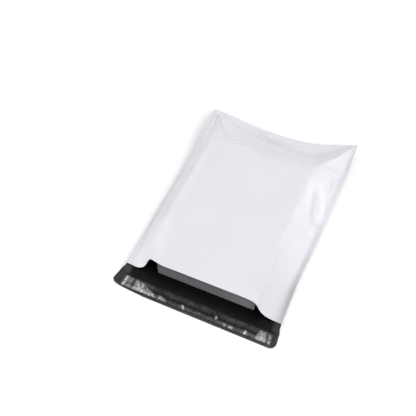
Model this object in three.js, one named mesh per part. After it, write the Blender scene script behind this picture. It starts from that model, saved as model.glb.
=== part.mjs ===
import * as THREE from 'three';

// A poly mailer lying face up: one web of film folded at the far end (+Y), welded
// down both sides, open at the mouth (-Y), with the back panel running on past the
// mouth as the closing flap. A closed carton lies inside and holds the front panel
// up. Millimetres, +Z up. Plan coordinates: u runs left to right, v runs from the
// fold to the mouth and on to the free edge of the flap.

// ---- driving dimensions ----
const BAG_W = 254;           // flat width between the cut side edges
const BAG_L = 338;           // fold to mouth
const FLAP = 37.5;           // mouth to the free edge of the flap
const FILM_T = 0.5;          // thickness of one layer of film here
const SEAL = 5;              // width of each side weld
const GAP = 0.3;             // clearance between touching pieces
const CARTON_W = 147.6, CARTON_L = 251.1, CARTON_H = 26;
const CARTON_U = 58, CARTON_V = 81.5;      // its far left bottom corner in plan
const GLUE_W = 15, GLUE_T = 0.25;          // adhesive strip, across the flap
const LINER_W = 20, LINER_T = 0.3;         // release liner, wider than the strip
const LINER_V = 351.5;                     // inner edge of the liner
const ROOF = 2 * FILM_T + 2 * GAP - FILM_T + CARTON_H + FILM_T; // top of the film over the carton

// ---- front panel: control net (u, v, z of its outer face), fold to mouth ----
// Columns: side edge, weld, slope, crease, ... carton ..., slope, weld, side edge.
const T = ROOF;
const NET = [
  // fold at the far end: its two corners stand up as ears
  [[3, 0, 11], [8, -0.3, 10.6], [18, -0.6, 9], [28, -0.8, 7.4], [38, -0.6, 6], [48, 0, 4.8], [60, 1, 3.6], [95, 3.5, 2], [132, 4.5, 1.4], [168, 4, 2], [190, 2, 4.2], [205, 0.2, 6.8], [214.5, -0.9, 9.2], [226, -2.7, 12.4], [238, -4.1, 16], [251.5, -5.7, 20.1], [257, -6, 21.5]],
  [[2.4, 5, 11.8], [7.4, 5, 11.6], [17, 5, 10.4], [27.5, 5, 8.2], [38, 5.2, 6.4], [48, 5.8, 4.9], [60, 6.6, 3.6], [95, 8.6, 2.1], [132, 9.4, 1.6], [168, 9, 2.1], [190, 7.4, 4.2], [205, 5.6, 6.4], [214.5, 4.6, 9], [226, 3, 12.6], [238, 1.8, 17.4], [250.5, 0.8, 21.2], [257.1, 0.6, 19]],
  [[1, 14, 13], [6, 14, 13.6], [12.5, 14, 13.6], [25, 14, 9.4], [37.5, 14, 6.2], [48, 14.5, 4.5], [60, 15, 3.2], [95, 16.4, 2], [132, 17, 1.7], [168, 16.6, 2], [190, 15.6, 3.6], [204, 14.6, 5.4], [214, 14, 8.2], [226, 13.2, 12.6], [236, 12.6, 18.2], [245, 12.2, 22.2], [257, 12, 14.6]],
  [[0, 27, 14], [5, 27, 15], [16.6, 27, 16.8], [26.5, 27, 11.6], [37, 27, 6.8], [47, 27, 4.4], [59, 27, 3], [94, 27, 2.2], [132, 27, 2.1], [168, 27, 2.4], [190, 27, 3.8], [203, 27, 6], [213.5, 27, 10], [225, 27, 16.2], [237.2, 27, 23], [250.6, 27, 15], [256.9, 27, 10.8]],
  [[-0.3, 50, 13.6], [4.7, 50, 15], [16, 50, 18.2], [29, 50, 21.4], [38, 50, 18.4], [47, 50, 16], [58.5, 50, 14.8], [93, 50, 13.6], [132, 50, 13.2], [168, 50, 13.6], [190, 50, 15.2], [202, 50, 17.2], [211, 50, 20.2], [221.8, 50.5, 24.6], [236.5, 50, 18.4], [250.6, 50, 10.2], [256.7, 50, 8]],
  [[2.5, 80.6, 9], [7.5, 80.6, 10.6], [17, 80.6, 14.6], [29.5, 80.6, 21], [38, 80.6, 24], [46.5, 80.6, T - 1], [57.4, 80.6, T], [92, 80.6, T], [132, 80.6, T], [168, 80.6, T], [190, 80.6, T], [198, 80.6, T], [206.3, 80.6, T], [219, 80.6, 24.4], [236, 80.6, 16], [250, 80.6, 8], [255.3, 80.6, 6]],
  [[5.5, 110, 6], [10.5, 110, 7.8], [18, 110, 12.6], [30, 110, 21.8], [38, 110, 24.8], [46.5, 110, T - 0.3], [57.4, 110, T], [92, 110, T + 0.4], [132, 110, T + 0.5], [168, 110, T + 0.4], [190, 110, T + 0.2], [198, 110, T], [206.3, 110, T], [218, 110, 23.6], [234.5, 110, 14.8], [249.3, 110, 6.9], [254.3, 110, 5]],
  [[7.5, 160, 5], [12.5, 160, 7], [19.5, 160, 12], [30.5, 160, 21.8], [38, 160, 24.8], [46.5, 160, T - 0.3], [57.4, 160, T], [92, 160, T + 0.5], [132, 160, T + 0.7], [168, 160, T + 0.5], [190, 160, T + 0.2], [198, 160, T], [206.3, 160, T], [217.5, 160, 23.2], [233.5, 160, 14.8], [247.6, 160, 6.6], [252.6, 160, 4.5]],
  [[8, 210, 4.5], [13, 210, 6.5], [20, 210, 11.6], [30.5, 210, 21.8], [38, 210, 24.8], [46.5, 210, T - 0.3], [57.4, 210, T], [92, 210, T + 0.4], [132, 210, T + 0.5], [168, 210, T + 0.4], [190, 210, T + 0.2], [198, 210, T], [206.3, 210, T], [217.5, 210, 23.2], [232.5, 210, 15], [245.8, 210, 6.4], [250.8, 210, 4]],
  [[9, 260, 4.5], [14, 260, 6.4], [21, 260, 11.2], [30.5, 260, 21], [38, 260, 24.6], [46.5, 260, T - 0.3], [57.4, 260, T], [92, 260, T + 0.2], [132, 260, T + 0.3], [168, 260, T + 0.2], [190, 260, T], [198, 260, T], [206.3, 260, T], [217, 260, 23.2], [230.5, 260, 15], [243, 260, 6.2], [248, 260, 3.5]],
  [[10, 300, 5], [15, 300, 6.6], [21.5, 300, 9.8], [30, 300, 15.8], [38, 300, 22], [46.5, 300, T - 0.5], [57.4, 300, T], [92, 300, T], [132, 300, T], [168, 300, T], [190, 300, T], [198, 300, T], [206.3, 300, T], [215, 300, 23], [228, 300, 13.4], [242.3, 300, 5.6], [247.3, 300, 3.5]],
  [[10.5, 320, 5.2], [15.5, 320, 6.4], [22, 320, 8], [30.5, 320, 11.2], [38.5, 320, 18.4], [46.5, 320, T - 0.5], [57.4, 320, T], [92, 320, T], [132, 320, T], [168, 320, T], [190, 320, T], [198, 320, T], [206.3, 320, T], [213, 320, 21.6], [225.5, 320, 9.8], [242.4, 320, 4.9], [247.4, 320, 3.6]],
  // mouth: low on the left, a steep rise to the carton top, an easy fall on the right
  [[10.8, 338, 5.2], [15.8, 338, 5.8], [23, 337, 7], [32.5, 334.6, 10], [39.5, 332, 18], [46.5, 331.4, T - 0.6], [57.4, 332, T], [92, 332.6, T], [132, 332.6, T], [168, 332.6, T], [190, 332.6, T], [199, 332.6, T], [206.4, 333, T - 0.1], [212.4, 335.8, 20.2], [222, 337.8, 8.6], [242.6, 338, 4.6], [247.6, 338, 4]],
];
// beside the left ear the panel climbs straight from the fold
for (const [row, col, z] of [[1, 3, 9.4], [1, 4, 7.8], [1, 5, 6.2], [1, 6, 4.4], [2, 3, 12.4], [2, 4, 10.2], [2, 5, 8.2], [2, 6, 5.4], [2, 7, 2.6],
  [3, 3, 16.4], [3, 4, 13.8], [3, 5, 11.2], [3, 6, 8.2], [3, 7, 3.6], [4, 4, 20.2], [4, 5, 18.8], [4, 6, 17.2], [4, 7, 14.8]]) NET[row][col][2] = z;
// the left weld stays lifted a little way past the ear, and runs nearly straight in plan
for (const [row, du, dz] of [[5, 1.1, 2.5], [6, 1.6, 3.5], [7, 0.7, 1.5]]) for (let i = 0; i < 3; i++) { NET[row][i][0] += du; NET[row][i][2] += dz; }
for (const [row, du] of [[1, 0.6], [2, 1.8], [3, 3.4], [4, 3.4], [5, 1.4]]) [1, 0.95, 0.7].forEach((k, i) => { NET[row][i][0] += du * k; });
// left side between v 80 and 260: one straight face up from the weld, then a nearly level band
for (const [row, u, z] of [[5, 30.8, 23.6], [6, 31.2, 24.8], [7, 31.4, 25], [8, 31.4, 25], [9, 31.2, 24.6]]) {
  const foot = NET[row][0], head = [u, foot[1], z], over = NET[row][5];
  [[1, 5 / 31], [2, 13.5 / 31], [3, 28 / 31]].forEach(([i, r]) => { NET[row][i] = foot.map((q, k) => q + (head[k] - q) * r); });
  NET[row][4] = head.map((q, k) => q + (over[k] - q) / 3);
}
const NV = [3, 5, 14, 27, 50, 80.6, 110, 160, 210, 260, 300, 320, 338]; // same rows on the back panel

// ---- flap outline: left u, right u, v (corners worn round) ----
const FLAP_ROWS = [
  [7.6, 247.9, 345], [5.6, 249.8, 351], [4, 250.3, 358], [3.1, 250.9, 365],
  [6.5, 250.2, 369.6], [15, 247.6, 372.8], [22, 243.5, 375.5],
];

// ---- refine the net: one extra line between control lines where the panel bends ----
const mix = (a, b, k) => a + (b - a) * k;
function refine(rows) {          // cubic midpoints along a list of points, kept in range
  const out = [];
  for (let i = 0; i < rows.length - 1; i++) {
    const a = rows[Math.max(0, i - 1)], b = rows[i], c = rows[i + 1], d = rows[Math.min(rows.length - 1, i + 2)];
    out.push(b);
    out.push(b.map((_, k) => {
      const m = (9 * (b[k] + c[k]) - (a[k] + d[k])) / 16;
      const flat = Math.abs(b[k] - c[k]) < 0.75;
      return flat ? (b[k] + c[k]) / 2 : Math.min(Math.max(m, Math.min(b[k], c[k])), Math.max(b[k], c[k]));
    }));
  }
  out.push(rows[rows.length - 1]);
  return out;
}
const across = NET.map(refine);                        // 33 columns
const cols = across[0].length;
const top = [];
{
  const lines = [];
  for (let i = 0; i < cols; i++) lines.push(refine(across.map(r => r[i])));
  for (let j = 0; j < lines[0].length; j++) top.push(lines.map(l => l[j]));
}
const vRow = refine(NV.map(v => [v])).map(p => p[0]);
const rowsTop = top.length;                            // 25 rows, fold to mouth
const iL = 2, iR = cols - 3;                           // inner edges of the two welds

// ---- back panel: flat under the carton, lifted along the welds, ears and fold ----
const fall = x => (x <= 0 ? 1 : x >= 1 ? 0 : (1 - x) * (1 - x) * (1 + 2 * x));
function backZ(j, i) {           // height of the back panel's outer face, row j <= mouth
  const row = top[j], [u, v] = row[i];
  const weldL = row[0][2] - 2 * FILM_T, weldR = row[cols - 1][2] - 2 * FILM_T;
  const fold = top[0][i][2] - 2 * FILM_T;
  const z = Math.max(weldL * fall((u - row[0][0]) / 40), weldR * fall((row[cols - 1][0] - u) / 38),
    fold * fall((v - top[0][i][1]) / (j === 0 ? 1 : 62)));
  return Math.max(0, z);
}

const P = { pos: [], tri: [] };
const add = (u, v, z) => (P.pos.push([u, v, z]), P.pos.length - 1);
const quad = (a, b, c, d) => { P.tri.push([a, b, c], [a, c, d]); };

const TO = [], TI = [], BI = [], BO = [];
for (let j = 0; j < rowsTop; j++) {
  TO[j] = []; TI[j] = []; BI[j] = []; BO[j] = [];
  for (let i = 0; i < cols; i++) {
    const [u, v, z] = top[j][i];
    const edge = i <= iL || i >= iR;
    const vb = edge || j === 0 ? v : j >= rowsTop - 3 ? mix(v, vRow[j], j === rowsTop - 1 ? 1 : 0.6) : v;
    let zb = backZ(j, i);
    const zt = z - FILM_T * (Math.abs(z - T) < 1.2 ? 1 : 1.18);
    if (i <= iL || i >= iR || j <= 1) zb = Math.min(zb, z - 2 * FILM_T);
    TO[j][i] = add(u, v, z);
    if (i >= iL && i <= iR && j >= 1) TI[j][i] = add(u, v, zt);
    zb = Math.max(0, Math.min(zb, zt - FILM_T - (i > iL && i < iR && j > 1 ? 0.4 : 0.1)));
    if (j >= 1 && i >= iL && i <= iR) BI[j][i] = add(u, vb, zb + FILM_T);
    BO[j][i] = add(u, vb, zb);
  }
}
// the mouth row of the back panel runs on over the welds as the flap's upper face
const jm = rowsTop - 1;
for (let i = 0; i < cols; i++) if (BI[jm][i] === undefined) { const q = P.pos[BO[jm][i]]; BI[jm][i] = add(q[0], q[1], q[2] + FILM_T); }
const mouthU = top[jm].map(p => p[0]), mouthZ = BO[jm].map(k => P.pos[k][2]);
FLAP_ROWS.forEach(([ul, ur, v], k) => {
  const j = rowsTop + k;
  BI[j] = []; BO[j] = [];
  const keep = fall((v - BAG_L) / 15);
  for (let i = 0; i < cols; i++) {
    const u = mix(ul, ur, (mouthU[i] - mouthU[0]) / (mouthU[cols - 1] - mouthU[0]));
    const z = mouthZ[i] * keep;
    const vv = k === FLAP_ROWS.length - 1 ? mix(373.4, 375.5, Math.min(1, (u - ul) / 40)) : v;
    BI[j][i] = add(u, vv, z + FILM_T);
    BO[j][i] = add(u, vv, z);
  }
});
const rowsAll = BO.length;

// panels (in plan, v grows towards -Y, so the winding below faces out after the flip)
for (let j = 0; j < jm; j++) for (let i = 0; i < cols - 1; i++) quad(TO[j][i], TO[j + 1][i], TO[j + 1][i + 1], TO[j][i + 1]);
for (let j = 0; j < rowsAll - 1; j++) for (let i = 0; i < cols - 1; i++) quad(BO[j][i], BO[j][i + 1], BO[j + 1][i + 1], BO[j + 1][i]);
for (let j = 1; j < jm; j++) for (let i = iL; i < iR; i++) {
  quad(TI[j][i], TI[j][i + 1], TI[j + 1][i + 1], TI[j + 1][i]);
  quad(BI[j][i], BI[j + 1][i], BI[j + 1][i + 1], BI[j][i + 1]);
}
for (let j = jm; j < rowsAll - 1; j++) for (let i = 0; i < cols - 1; i++) quad(BI[j][i], BI[j + 1][i], BI[j + 1][i + 1], BI[j][i + 1]);
// outer side walls (where the mouth ends, the wall steps down from both layers to one)
for (let j = 0; j < rowsAll - 1; j++) {
  const n = cols - 1;
  if (j === jm - 1) {
    quad(TO[j][0], BO[j][0], BO[jm][0], BI[jm][0]); P.tri.push([TO[j][0], BI[jm][0], TO[jm][0]]);
    quad(TO[j][n], BI[jm][n], BO[jm][n], BO[j][n]); P.tri.push([TO[j][n], TO[jm][n], BI[jm][n]]);
    continue;
  }
  const up = j < jm ? TO : BI;
  quad(up[j][0], BO[j][0], BO[j + 1][0], up[j + 1][0]);
  quad(up[j][n], up[j + 1][n], BO[j + 1][n], BO[j][n]);
}
// fold, flap's free edge
for (let i = 0; i < cols - 1; i++) {
  quad(TO[0][i], TO[0][i + 1], BO[0][i + 1], BO[0][i]);
  const e = rowsAll - 1;
  quad(BI[e][i], BO[e][i], BO[e][i + 1], BI[e][i + 1]);
}
// walls of the hollow along the welds and the fold
for (let j = 1; j < jm; j++) {
  quad(TI[j][iL], TI[j + 1][iL], BI[j + 1][iL], BI[j][iL]);
  quad(TI[j][iR], BI[j][iR], BI[j + 1][iR], TI[j + 1][iR]);
}
for (let i = iL; i < iR; i++) quad(TI[1][i], BI[1][i], BI[1][i + 1], TI[1][i + 1]);
// mouth rim and the ends of the welds
for (let i = iL; i < iR; i++) quad(TO[jm][i], TI[jm][i], TI[jm][i + 1], TO[jm][i + 1]);
for (let i = 0; i < iL; i++) quad(TO[jm][i], BI[jm][i], BI[jm][i + 1], TO[jm][i + 1]);
for (let i = iR; i < cols - 1; i++) quad(TO[jm][i], BI[jm][i], BI[jm][i + 1], TO[jm][i + 1]);
P.tri.push([TO[jm][iL], BI[jm][iL], TI[jm][iL]], [TO[jm][iR], TI[jm][iR], BI[jm][iR]]);

// ---- plan to model frame: origin under the middle of the whole thing ----
let uMin = 1e9, uMax = -1e9, vMin = 1e9, vMax = -1e9;
for (const [u, v] of P.pos) { uMin = Math.min(uMin, u); uMax = Math.max(uMax, u); vMin = Math.min(vMin, v); vMax = Math.max(vMax, v); }
const U0 = (uMin + uMax) / 2, V0 = (vMin + vMax) / 2;

function meshOf(pos, tri) {
  const g = new THREE.BufferGeometry();
  g.setAttribute('position', new THREE.Float32BufferAttribute(pos.flatMap(([u, v, z]) => [u - U0, V0 - v, z]), 3));
  g.setIndex(tri.flat());
  g.computeVertexNormals();
  return g;
}
const mat = (color, roughness, metalness = 0) => new THREE.MeshStandardMaterial({ color, roughness, metalness, side: THREE.DoubleSide });
const named = (name, geometry, material) => { const m = new THREE.Mesh(geometry, material); m.name = name; return m; };

const mailer = new THREE.Group();
mailer.add(named('mailer_film', meshOf(P.pos, P.tri), mat(0xeeedf2, 0.42)));

// ---- carton: a closed box with softened long edges ----
{
  const r = 1.2, s = new THREE.Shape();
  const w = CARTON_W / 2, h = CARTON_H;
  s.moveTo(-w + r, 0); s.lineTo(w - r, 0); s.absarc(w - r, r, r, -Math.PI / 2, 0, false);
  s.lineTo(w, h - r); s.absarc(w - r, h - r, r, 0, Math.PI / 2, false);
  s.lineTo(-w + r, h); s.absarc(-w + r, h - r, r, Math.PI / 2, Math.PI, false);
  s.lineTo(-w, r); s.absarc(-w + r, r, r, Math.PI, 1.5 * Math.PI, false);
  const g = new THREE.ExtrudeGeometry(s, { depth: CARTON_L, bevelEnabled: false, curveSegments: 3 });
  const m = named('inner_carton', g, mat(0x8a8892, 0.7));
  m.rotation.x = Math.PI / 2;
  m.position.set(CARTON_U + w - U0, V0 - CARTON_V, FILM_T + GAP);
  mailer.add(m);
}

// ---- strips on the flap: a slab following the flap from side to side ----
function strip(v0, v1, u0, u1, z, t) {
  const g = new THREE.BoxGeometry(u1 - u0, v1 - v0, t);
  g.translate((u0 + u1) / 2 - U0, V0 - (v0 + v1) / 2, z + t / 2);
  return g;
}
const glueZ = FILM_T + GAP, linerZ = glueZ + GLUE_T + GAP;
const mid = LINER_V + LINER_W / 2;
mailer.add(named('adhesive_strip', strip(mid - GLUE_W / 2, mid + GLUE_W / 2, 11.5, 244.5, glueZ, GLUE_T), mat(0x6b6a70, 0.3)));
mailer.add(named('release_liner', strip(LINER_V, LINER_V + LINER_W, 8, 247, linerZ, LINER_T), mat(0xa9a9b0, 0.25, 0.3)));

export default mailer;
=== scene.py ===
import math

import bmesh
import bpy
import numpy as np
from mathutils import Matrix, Vector


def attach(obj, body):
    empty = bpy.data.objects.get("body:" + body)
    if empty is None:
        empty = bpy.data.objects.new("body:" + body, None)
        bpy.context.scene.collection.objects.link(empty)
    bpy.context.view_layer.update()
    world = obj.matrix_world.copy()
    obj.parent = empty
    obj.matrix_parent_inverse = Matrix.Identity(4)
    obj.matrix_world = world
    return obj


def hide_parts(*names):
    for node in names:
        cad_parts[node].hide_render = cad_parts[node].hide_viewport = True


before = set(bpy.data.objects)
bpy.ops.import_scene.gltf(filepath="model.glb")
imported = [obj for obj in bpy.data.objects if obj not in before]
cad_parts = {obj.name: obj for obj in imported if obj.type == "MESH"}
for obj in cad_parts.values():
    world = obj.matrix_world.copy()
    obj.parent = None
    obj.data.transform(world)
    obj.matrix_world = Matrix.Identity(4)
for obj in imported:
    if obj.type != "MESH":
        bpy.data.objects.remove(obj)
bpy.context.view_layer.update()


# ---------------------------------------------------------------- the film's shape
# Millimetres. u runs left to right and v from the fold at the far end to the mouth, both
# in plan. s and t are the same directions measured on the flat, unfolded film.
BAG_W, BAG_L, FLAP = 254.0, 338.0, 37.5
U0, V0 = 129.95, 184.75
CARTON_LO = np.array([58.0, 81.5, 0.8])
CARTON_HI = np.array([205.6, 332.6, 26.8])
SEAL = 5.0
TOP = CARTON_HI[2] + 0.25        # height of the front panel over the carton

S_KNOTS = np.array([0, 5, 13.5, 28, 36, 46, 57, 92, 132, 168, 190, 198, 206, 219, 234, 249, 254.0])
T_KNOTS = np.array([0, 5, 14, 27, 52, 86, 115, 165, 215, 265, 305, 325, 338.0])
T = TOP
NET = np.array([
  [[3, 0, 11], [8, -0.3, 10.6], [18, -0.6, 9], [28, -0.8, 7.4], [38, -0.6, 6], [48, 0, 4.8], [60, 1, 3.6], [95, 3.5, 2], [132, 4.5, 1.4], [168, 4, 2], [190, 2, 4.2], [205, 0.2, 6.8], [214.5, -0.9, 9.2], [226, -2.7, 12.4], [238, -4.1, 16], [251.5, -5.7, 20.1], [257, -6, 21.5]],
  [[2.4, 5, 11.8], [7.4, 5, 11.6], [17, 5, 10.4], [27.5, 5, 8.2], [38, 5.2, 6.4], [48, 5.8, 4.9], [60, 6.6, 3.6], [95, 8.6, 2.1], [132, 9.4, 1.6], [168, 9, 2.1], [190, 7.4, 4.2], [205, 5.6, 6.4], [214.5, 4.6, 9], [226, 3, 12.6], [238, 1.8, 17.4], [250.5, 0.8, 21.2], [257.1, 0.6, 19]],
  [[1, 14, 13], [6, 14, 13.6], [12.5, 14, 13.6], [25, 14, 9.4], [37.5, 14, 6.2], [48, 14.5, 4.5], [60, 15, 3.2], [95, 16.4, 2], [132, 17, 1.7], [168, 16.6, 2], [190, 15.6, 3.6], [204, 14.6, 5.4], [214, 14, 8.2], [226, 13.2, 12.6], [236, 12.6, 18.2], [245, 12.2, 22.2], [257, 12, 14.6]],
  [[0, 27, 14], [5, 27, 15], [16.6, 27, 16.8], [26.5, 27, 11.6], [37, 27, 6.8], [47, 27, 4.4], [59, 27, 3], [94, 27, 2.2], [132, 27, 2.1], [168, 27, 2.4], [190, 27, 3.8], [203, 27, 6], [213.5, 27, 10], [225, 27, 16.2], [237.2, 27, 23], [250.6, 27, 15], [256.9, 27, 10.8]],
  [[-0.3, 50, 13.6], [4.7, 50, 15], [16, 50, 18.2], [29, 50, 21.4], [38, 50, 18.4], [47, 50, 16], [58.5, 50, 14.8], [93, 50, 13.6], [132, 50, 13.2], [168, 50, 13.6], [190, 50, 15.2], [202, 50, 17.2], [211, 50, 20.2], [221.8, 50.5, 24.6], [236.5, 50, 18.4], [250.6, 50, 10.2], [256.7, 50, 8]],
  [[2.5, 80.6, 9], [7.5, 80.6, 10.6], [17, 80.6, 14.6], [29.5, 80.6, 21], [38, 80.6, 24], [46.5, 80.6, T - 1], [57.4, 80.6, T], [92, 80.6, T], [132, 80.6, T], [168, 80.6, T], [190, 80.6, T], [198, 80.6, T], [206.3, 80.6, T], [219, 80.6, 24.4], [236, 80.6, 16], [250, 80.6, 8], [255.3, 80.6, 6]],
  [[5.5, 110, 6], [10.5, 110, 7.8], [18, 110, 12.6], [30, 110, 21.8], [38, 110, 24.8], [46.5, 110, T - 0.3], [57.4, 110, T], [92, 110, T + 0.3], [132, 110, T + 0.4], [168, 110, T + 0.3], [190, 110, T + 0.1], [198, 110, T], [206.3, 110, T], [218, 110, 23.6], [234.5, 110, 14.8], [249.3, 110, 6.9], [254.3, 110, 5]],
  [[7.5, 160, 5], [12.5, 160, 7], [19.5, 160, 12], [30.5, 160, 21.8], [38, 160, 24.8], [46.5, 160, T - 0.3], [57.4, 160, T], [92, 160, T + 0.4], [132, 160, T + 0.5], [168, 160, T + 0.4], [190, 160, T + 0.1], [198, 160, T], [206.3, 160, T], [217.5, 160, 23.2], [233.5, 160, 14.8], [247.6, 160, 6.6], [252.6, 160, 4.5]],
  [[8, 210, 4.5], [13, 210, 6.5], [20, 210, 11.6], [30.5, 210, 21.8], [38, 210, 24.8], [46.5, 210, T - 0.3], [57.4, 210, T], [92, 210, T + 0.3], [132, 210, T + 0.4], [168, 210, T + 0.3], [190, 210, T + 0.1], [198, 210, T], [206.3, 210, T], [217.5, 210, 23.2], [232.5, 210, 15], [245.8, 210, 6.4], [250.8, 210, 4]],
  [[9, 260, 4.5], [14, 260, 6.4], [21, 260, 11.2], [30.5, 260, 21], [38, 260, 24.6], [46.5, 260, T - 0.3], [57.4, 260, T], [92, 260, T + 0.2], [132, 260, T + 0.3], [168, 260, T + 0.2], [190, 260, T], [198, 260, T], [206.3, 260, T], [217, 260, 23.2], [230.5, 260, 15], [243, 260, 6.2], [248, 260, 3.5]],
  [[10, 300, 5], [15, 300, 6.6], [21.5, 300, 9.8], [30, 300, 15.8], [38, 300, 22], [46.5, 300, T - 0.5], [57.4, 300, T], [92, 300, T], [132, 300, T], [168, 300, T], [190, 300, T], [198, 300, T], [206.3, 300, T], [215, 300, 23], [228, 300, 13.4], [242.3, 300, 5.6], [247.3, 300, 3.5]],
  [[10.5, 320, 5.2], [15.5, 320, 6.4], [22, 320, 8], [30.5, 320, 11.2], [38.5, 320, 18.4], [46.5, 320, T - 0.5], [57.4, 320, T], [92, 320, T], [132, 320, T], [168, 320, T], [190, 320, T], [198, 320, T], [206.3, 320, T], [213, 320, 21.6], [225.5, 320, 9.8], [242.4, 320, 4.9], [247.4, 320, 3.6]],
  [[10.8, 338, 5.2], [15.8, 338, 5.8], [23, 337, 7], [32.5, 334.6, 10], [39.5, 332, 18], [46.5, 331.8, T - 0.6], [57.4, 332.6, T], [92, 333, T], [132, 333, T], [168, 333, T], [190, 333, T], [199, 333, T], [206.4, 333.4, T - 0.1], [212.4, 335.8, 20.2], [222, 337.8, 8.6], [242.6, 338, 4.6], [247.6, 338, 4]],
], float)

# beside the left raised corner the panel climbs straight from the fold
for row, col, z in ((1, 3, 9.4), (1, 4, 7.8), (1, 5, 6.2), (1, 6, 4.4), (2, 3, 12.4), (2, 4, 10.2), (2, 5, 8.2), (2, 6, 5.4), (2, 7, 2.6),
                    (3, 3, 16.4), (3, 4, 13.8), (3, 5, 11.2), (3, 6, 8.2), (3, 7, 3.6), (4, 4, 20.2), (4, 5, 18.8), (4, 6, 17.2), (4, 7, 14.8)):
    NET[row, col, 2] = z
# the seam stays lifted a little way along the left side
for row, du, dz in ((5, 1.1, 2.5), (6, 1.6, 3.5), (7, 0.7, 1.5)):
    NET[row, :3, 0] += du
    NET[row, :3, 2] += dz
# the left seam runs nearly straight in plan past the raised corner
for row, du in ((1, 0.6), (2, 1.8), (3, 3.4), (4, 3.4), (5, 1.4)):
    NET[row, :3, 0] += du * np.array([1, 0.95, 0.7])
# left side between v 80 and 260: one straight face up from the seam, then a nearly level band
for row, top in ((5, (30.8, 23.6)), (6, (31.2, 24.8)), (7, (31.4, 25.0)), (8, (31.4, 25.0)), (9, (31.2, 24.6))):
    foot = NET[row, 0].copy()
    head = np.array([top[0], foot[1], top[1]])
    for k, r in ((1, 5 / 31), (2, 13.5 / 31), (3, 28 / 31)):
        NET[row, k] = foot + (head - foot) * r
    NET[row, 4] = head + (NET[row, 5] - head) / 3


def monotone(x, y, q):
    """Values at q of the smooth curve through y at x, along the first axis of y, with no overshoot."""
    x = np.asarray(x, float); y = np.asarray(y, float); q = np.asarray(q, float)
    h = np.diff(x).reshape((-1,) + (1,) * (y.ndim - 1))
    d = np.diff(y, axis=0) / h
    m = np.empty_like(y)
    m[0], m[-1] = d[0], d[-1]
    w1, w2 = 2 * h[1:] + h[:-1], h[1:] + 2 * h[:-1]
    same = d[:-1] * d[1:] > 0
    with np.errstate(divide="ignore", invalid="ignore"):
        mid = (w1 + w2) / (w1 / d[:-1] + w2 / d[1:])
    m[1:-1] = np.where(same, mid, 0.0)
    k = np.clip(np.searchsorted(x, q, side="right") - 1, 0, len(x) - 2)
    hh = h[k]; r = ((q - x[k]) / (x[k + 1] - x[k])).reshape((-1,) + (1,) * (y.ndim - 1))
    r2, r3 = r * r, r * r * r
    return (2 * r3 - 3 * r2 + 1) * y[k] + (r3 - 2 * r2 + r) * hh * m[k] + (3 * r2 - 2 * r3) * y[k + 1] + (r3 - r2) * hh * m[k + 1]


def catmull(x, y, q):
    """Like monotone, but a plain cubic through the points: rounder, for positions."""
    x = np.asarray(x, float); y = np.asarray(y, float); q = np.asarray(q, float)
    h = np.diff(x).reshape((-1,) + (1,) * (y.ndim - 1))
    d = np.diff(y, axis=0) / h
    m = np.empty_like(y)
    m[0], m[-1] = d[0], d[-1]
    m[1:-1] = (d[:-1] * h[1:] + d[1:] * h[:-1]) / (h[1:] + h[:-1])
    k = np.clip(np.searchsorted(x, q, side="right") - 1, 0, len(x) - 2)
    hh = h[k]; r = ((q - x[k]) / (x[k + 1] - x[k])).reshape((-1,) + (1,) * (y.ndim - 1))
    r2, r3 = r * r, r * r * r
    return (2 * r3 - 3 * r2 + 1) * y[k] + (r3 - 2 * r2 + r) * hh * m[k] + (3 * r2 - 2 * r3) * y[k + 1] + (r3 - r2) * hh * m[k + 1]


def front_target(s, t):
    """(len(t), len(s), 3) plan positions of the front panel."""
    a = np.stack([monotone(S_KNOTS, row, s) for row in NET])        # rows, s, 3
    return monotone(T_KNOTS, a, t)


def fall(x):
    x = np.clip(x, 0, 1)
    return (1 - x) ** 2 * (1 + 2 * x)


def lines(spans):
    """Grid line positions: spans is [(from, to, step)], joined."""
    out = [spans[0][0]]
    for a, b, step in spans:
        n = max(1, int(round((b - a) / step)))
        out += [a + (b - a) * (k + 1) / n for k in range(n)]
    return np.array(out, float)


def back_target(front, s):
    """The back panel under the front one: flat under the carton, lifted along the welds, the fold and the corners."""
    b = front.copy()
    u, v, z = front[..., 0], front[..., 1], front[..., 2]
    wl, wr = front[:, :1], front[:, -1:]
    f = front[:1]
    lift = np.maximum.reduce([
        (wl[..., 2]) * fall((u - wl[..., 0]) / 40), (wr[..., 2]) * fall((wr[..., 0] - u) / 38),
        f[..., 2] * fall((v - f[..., 1]) / 62)])
    b[..., 2] = np.minimum(lift, z)
    return b


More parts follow.
